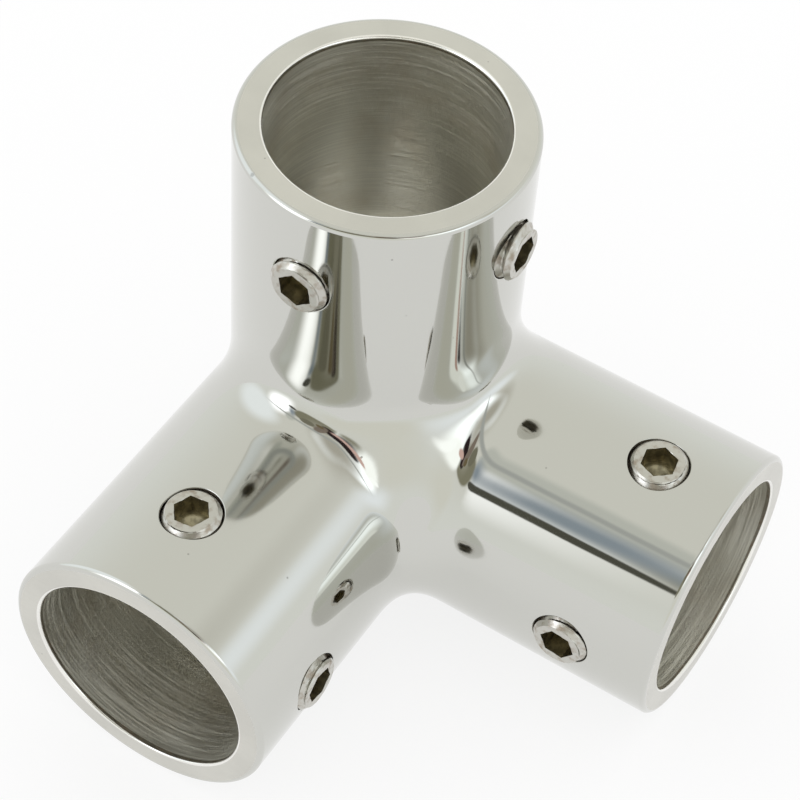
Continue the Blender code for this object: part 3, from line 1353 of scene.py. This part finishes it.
@dataclass(frozen=True)
class CastSkin(MetalFinish):
    """The rough skin that the casting kept inside, where no tool reaches."""

    def dress(self, surface: Surface) -> dict[str, Output]:
        """Lay grains and lumps on the skin.

        Args:
            surface: The material's wiring.

        Returns:
            What changes, for each input of the shader.
        """
        grains = surface.grain(1800.0, detail=4.0, rough=0.65)
        light = surface.spread(grains, 0.35, 0.7, 0.0, 1.0)
        lumps = surface.swell(scale=350.0, height=60 * MICRON)
        return {
            "Base Color": surface.mix(light, self.tone(0.75), self.tone(1.1)),
            "Normal": surface.bump(surface.math("MULTIPLY", grains, 30 * MICRON), lumps),
        }


@dataclass(frozen=True)
class Turned(MetalFinish):
    """The outside of the set screws and the tapped holes, turned and slightly warm."""

    soil: tuple[float, float, float, float] = (0.30, 0.23, 0.16, 1.0)

    def dress(self, surface: Surface) -> dict[str, Output]:
        """Lay lathe marks, soft hills and soil on the metal.

        Args:
            surface: The material's wiring.

        Returns:
            What changes, for each input of the shader.
        """
        _, lathe = surface.marks((900.0, 900.0, 9000.0), height=0.8 * MICRON, sparsity=0.45)
        soiled = surface.spread(surface.grain(900.0, detail=4.0), 0.45, 0.7, 0.0, 0.7)
        return {
            "Base Color": surface.mix(soiled, self.tone(1.0), self.soil),
            "Roughness": surface.total(surface.math("MULTIPLY", soiled, 0.25), self.roughness),
            "Normal": surface.bump(lathe, surface.swell(scale=700.0, height=6 * MICRON)),
        }


@dataclass(frozen=True)
class Pressed(MetalFinish):
    """The hexagon of a set screw: coloured dark brown as painted shade in its recess, with the press tool's marks
    down its flats.
    """

    def dress(self, surface: Surface) -> dict[str, Output]:
        """Lay the press tool's marks and a random mottle on the flats.

        Args:
            surface: The material's wiring.

        Returns:
            What changes, for each input of the shader.
        """
        _, pressing = surface.marks((6000.0, 6000.0, 700.0), height=2 * MICRON, sparsity=0.45)
        # Random mottle over the dark brown that paints the recess's shade.
        mottle = surface.spread(surface.grain(1200.0, detail=3.0), 0.35, 0.65, 0.0, 1.0)
        return {
            "Base Color": surface.mix(mottle, self.tone(0.7), self.tone(1.25)),
            "Normal": surface.bump(pressing),
        }


@dataclass(frozen=True)
class Field:
    """A soft-edged field of the studio's tent, which only the mirror finish shows, with its angles in degrees."""

    azimuth: float
    elevation: float
    half_width: float
    half_height: float
    colour: tuple[float, float, float]
    turn: float = 0.0
    softness: float = 0.25
    squareness: float = 2.0

    def inputs(self) -> dict[str, object]:
        """What the field's node group takes: the directions across it reach its edge at 1."""
        centre, across, up = view_axes(self.azimuth, self.elevation, self.turn)
        return {
            "Centre": centre,
            "Across": across / math.tan(math.radians(self.half_width)),
            "Up": up / math.tan(math.radians(self.half_height)),
            "Softness": self.softness,
            "Squareness": self.squareness,
        }


@dataclass
class Studio:
    """A white light tent on a pale table, and the camera at the photograph's viewing angle."""

    floor_size: float = 6.0
    floor_shade: float = 0.2
    floor_glow: float = 0.8
    tent_low: tuple[float, float, float, float] = (0.98, 1.00, 0.97, 1.0)
    tent_high: tuple[float, float, float, float] = (0.89, 0.89, 0.83, 1.0)
    least_ahead: float = 0.01
    lens: float = 115.62
    azimuth: float = 28.75
    elevation: float = 50.64
    roll: float = 4.67
    eye: Vector = field(default_factory=lambda: Vector((93.58, -163.27, 230.62)) * MM)
    fields: tuple[Field, ...] = (
        Field(-37, 32, 13.1, 18.1, (2.69, 2.74, 2.92), turn=16, softness=1.60, squareness=3.0),
        Field(99, 19, 29.1, 8.3, (1.17, 1.23, 1.29), turn=6, softness=1.60),
        Field(74, 48, 22.6, 21.2, (2.22, 2.36, 2.49), turn=-15, softness=0.65, squareness=3.0),
        Field(17, 45, 23.7, 11.8, (0.30, 0.29, 0.21), turn=4, squareness=3.0),
        Field(-24, 57, 5.4, 9.0, (0.71, 0.73, 0.68), turn=6, softness=0.75),
        Field(-18, 44, 2.9, 8.6, (0.35, 0.41, 0.47), turn=-3, softness=1.60),
        Field(-17, 33, 5.5, 2.6, (0.10, 0.10, 0.08), turn=39, softness=0.45),
        Field(76, 56, 32.9, 14.8, (0.57, 0.55, 0.48), turn=-10, softness=1.60),
        Field(45, 44, 13.0, 5.3, (0.03, 0.02, 0.02), turn=6),
        Field(33, 51, 5.7, 9.9, (0.28, 0.23, 0.19)),
        Field(60, 32, 14.0, 7.5, (1.55, 1.60, 1.58), turn=-20, softness=0.80),
        Field(52, 40, 8.0, 2.1, (0.84, 0.58, 0.52), turn=-24, softness=0.50),
        Field(17, 63, 60.0, 2.0, (0.52, 0.54, 0.52), softness=1.21),
        Field(-80, 32, 20.5, 33.1, (1.20, 1.26, 1.30), turn=3, softness=0.89),
        Field(9, 53, 8.1, 5.9, (0.24, 0.23, 0.17)),
        Field(27, 46, 4.6, 2.9, (0.20, 0.16, 0.09), turn=-3),
        Field(38, 15, 22.0, 12.0, (0.93, 0.93, 0.86), softness=1.00),
        Field(69, 27, 3.0, 5.5, (1.60, 1.65, 1.65), softness=0.60),
    )

    def build(self, crossing: Vector) -> None:
        """Put the floor, the tent and the camera into the scene.

        Args:
            crossing: Where the sockets' centrelines meet.
        """
        self.add_floor()
        self.add_tent()
        self.add_camera(crossing)
        bpy.context.scene.view_settings.view_transform = "Standard"

    def add_floor(self) -> None:
        """A pale table that keeps the object's shadow and shows white to the camera and to the metal."""
        bm = bmesh.new()
        bmesh.ops.create_grid(bm, x_segments=1, y_segments=1, size=self.floor_size / 2)
        mesh = bpy.data.meshes.new("table")
        bm.to_mesh(mesh)
        bm.free()
        material = bpy.data.materials.new("pale_table")
        material.use_nodes = True
        wiring = Wiring(material.node_tree)
        path = wiring.node("ShaderNodeLightPath").outputs
        seen = wiring.math("MAXIMUM", path["Is Camera Ray"], path["Is Glossy Ray"])
        seen = wiring.math("MAXIMUM", seen, path["Is Transmission Ray"])
        wiring.feed(material.node_tree.nodes["Principled BSDF"], {
            "Base Color": (*(self.floor_shade,) * 3, 1.0),
            "Roughness": 1.0,
            "Specular IOR Level": 0.0,
            "Emission Color": (1.0, 1.0, 1.0, 1.0),
            "Emission Strength": wiring.math("MULTIPLY", seen, self.floor_glow),
        })
        mesh.materials.append(material)
        add_object("table", mesh)

    def field_group(self) -> Tree:
        """Build the group that tells how far a direction lies inside a field of the tent.

        Returns:
            A group that gives a mask.
        """
        inputs = dict.fromkeys(("Direction", "Centre", "Across", "Up"), "Vector")
        inputs |= {"Softness": "Float", "Squareness": "Float"}
        group, wiring, given = new_group("tent_field", inputs, ("Mask",))
        ahead = wiring.vector("DOT_PRODUCT", given["Direction"], given["Centre"])["Value"]
        safe = wiring.math("MAXIMUM", ahead, self.least_ahead)
        powers = []
        for axis in ("Across", "Up"):
            share = wiring.vector("DOT_PRODUCT", given["Direction"], given[axis])["Value"]
            share = wiring.math("ABSOLUTE", wiring.math("DIVIDE", share, safe))
            powers.append(wiring.math("POWER", share, given["Squareness"]))
        reach = wiring.math("POWER", wiring.total(*powers), wiring.math("DIVIDE", 1.0, given["Squareness"]))
        outside = wiring.math("DIVIDE", wiring.math("SUBTRACT", reach, 1.0), given["Softness"])
        smooth = wiring.spread(wiring.math("SUBTRACT", 0.5, outside, clamp=True), 0.0, 1.0, 0.0, 1.0)
        mask = wiring.math("MULTIPLY", smooth, wiring.math("GREATER_THAN", ahead, self.least_ahead))
        wiring.node("NodeGroupOutput", {"Mask": mask})
        return group

    def add_tent(self) -> None:
        """The white tent all round, with its darker and brighter fields in the metal's reflections."""
        world = bpy.data.worlds.new("light_tent")
        world.use_nodes = True
        bpy.context.scene.world = world
        wiring = Wiring(world.node_tree)
        direction = wiring.node("ShaderNodeTexCoord").outputs["Generated"]
        upward = wiring.node("ShaderNodeSeparateXYZ", {"Vector": direction}).outputs["Z"]
        colour = wiring.mix(wiring.spread(upward, 0.0, 0.9, 0.0, 1.0), self.tent_low, self.tent_high)
        group = self.field_group()
        for patch in self.fields:
            mask = wiring.group(group, {"Direction": direction} | patch.inputs())["Mask"]
            colour = wiring.mix(mask, colour, (*patch.colour, 1.0))
        glossy = wiring.node("ShaderNodeLightPath").outputs["Is Glossy Ray"]
        colour = wiring.mix(glossy, (1.0, 1.0, 1.0, 1.0), colour)
        wiring.feed(world.node_tree.nodes["Background"], {"Color": colour, "Strength": 1.0})

    def add_camera(self, crossing: Vector) -> None:
        """Place the camera at the angle and distance that a fit to the photograph's rims gave.

        Args:
            crossing: Where the sockets' centrelines meet, from which the camera's place is measured.
        """
        back, right, up = view_axes(self.azimuth, self.elevation, self.roll)
        data = bpy.data.cameras.new("photo_view")
        data.lens = self.lens
        data.clip_start = 0.01
        data.clip_end = 20.0
        camera = add_object("photo_view", data)
        turn = Matrix((right, up, back)).transposed().to_4x4()
        camera.matrix_world = Matrix.Translation(crossing + self.eye) @ turn
        bpy.context.scene.camera = camera


@dataclass
class Connector:
    """The whole fitting: its casting, its six screws and their finishes."""

    casting: Casting = field(default_factory=Casting)
    screw: SetScrew = field(default_factory=SetScrew)

    def nicks(self) -> tuple[Nick, ...]:
        """Place the dents that the photograph shows in the polish.

        Returns:
            One at the front mouth's edge, one at the top mouth's edge, and one on the front socket.
        """
        front, _, top = (socket.frame(self.casting.crossing) for socket in SOCKETS)
        reach, outer, bore = self.casting.reach, self.casting.outer_radius, self.casting.bore_radius
        return tuple(
            Nick(socket @ round_point(radius, math.radians(angle), height), spread * MM, depth * MICRON)
            for socket, radius, angle, height, spread, depth in (
                (front, bore + 0.35 * MM, 92, reach, 0.4, 30),
                (top, outer - 0.3 * MM, -27.4, reach - 0.1 * MM, 0.35, 20),
                (front, outer, -9.9, 37.6 * MM, 0.25, 10),
            )
        )

    def build(self) -> list[bpy.types.Object]:
        """Build every piece and tie it to the frame.

        Returns:
            The pieces.
        """
        effects = Effects.make()
        steel = [
            Polished(effects, "mirror_polish", (0.60, 0.60, 0.565), 0.05, nicks=self.nicks()),
            Faced(effects, "satin_mouth", (0.64, 0.63, 0.58), 0.33),
            # Bore wall; its brownish patches are a painted reflection.
            Bored(effects, "bored_wall", (0.85, 0.84, 0.77), 0.45, follows_wall=True),
            CastSkin(effects, "cast_skin", (0.62, 0.60, 0.54), 0.6),
            # Tapped threads, and also the painted shade of the collar under each mouth's lip.
            Turned(effects, "tapped_thread_and_shade", (0.42, 0.39, 0.34), 0.3, follows_wall=True),
            # Painted highlight: a far brighter colour than the steel's, for the white line along the inner edge.
            Faced(effects, "lip_with_painted_highlight", (0.88, 0.87, 0.83), 0.25),
        ]
        nickel = [
            Turned(effects, "turned_screw", (0.57, 0.56, 0.515), 0.28, follows_wall=True),
            # Painted shade: the hexagon recess, its floor and its pilot hole are coloured dark brown.
            Pressed(effects, "hexagon_painted_shade", (0.34, 0.305, 0.205), 0.36, follows_wall=True),
        ]
        casting = self.casting.build([finish.make() for finish in steel])
        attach(casting, "casting")
        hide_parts("corner_casting")
        pieces, materials = [casting], [finish.make() for finish in nickel]
        for socket in SOCKETS:
            for screw in socket.screws():
                piece = self.screw.build(screw, socket.along, materials)
                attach(piece, screw.body)
                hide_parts(screw.node)
                pieces.append(piece)
        return pieces


def main() -> None:
    """Build the connector and its studio, and report each piece."""
    logging.basicConfig(level=logging.INFO, format="%(message)s")
    connector = Connector()
    for piece in connector.build():
        log.info("%s: %d faces", piece.name, len(piece.data.polygons))
    Studio().build(connector.casting.crossing)


if __name__ == "__main__":
    main()
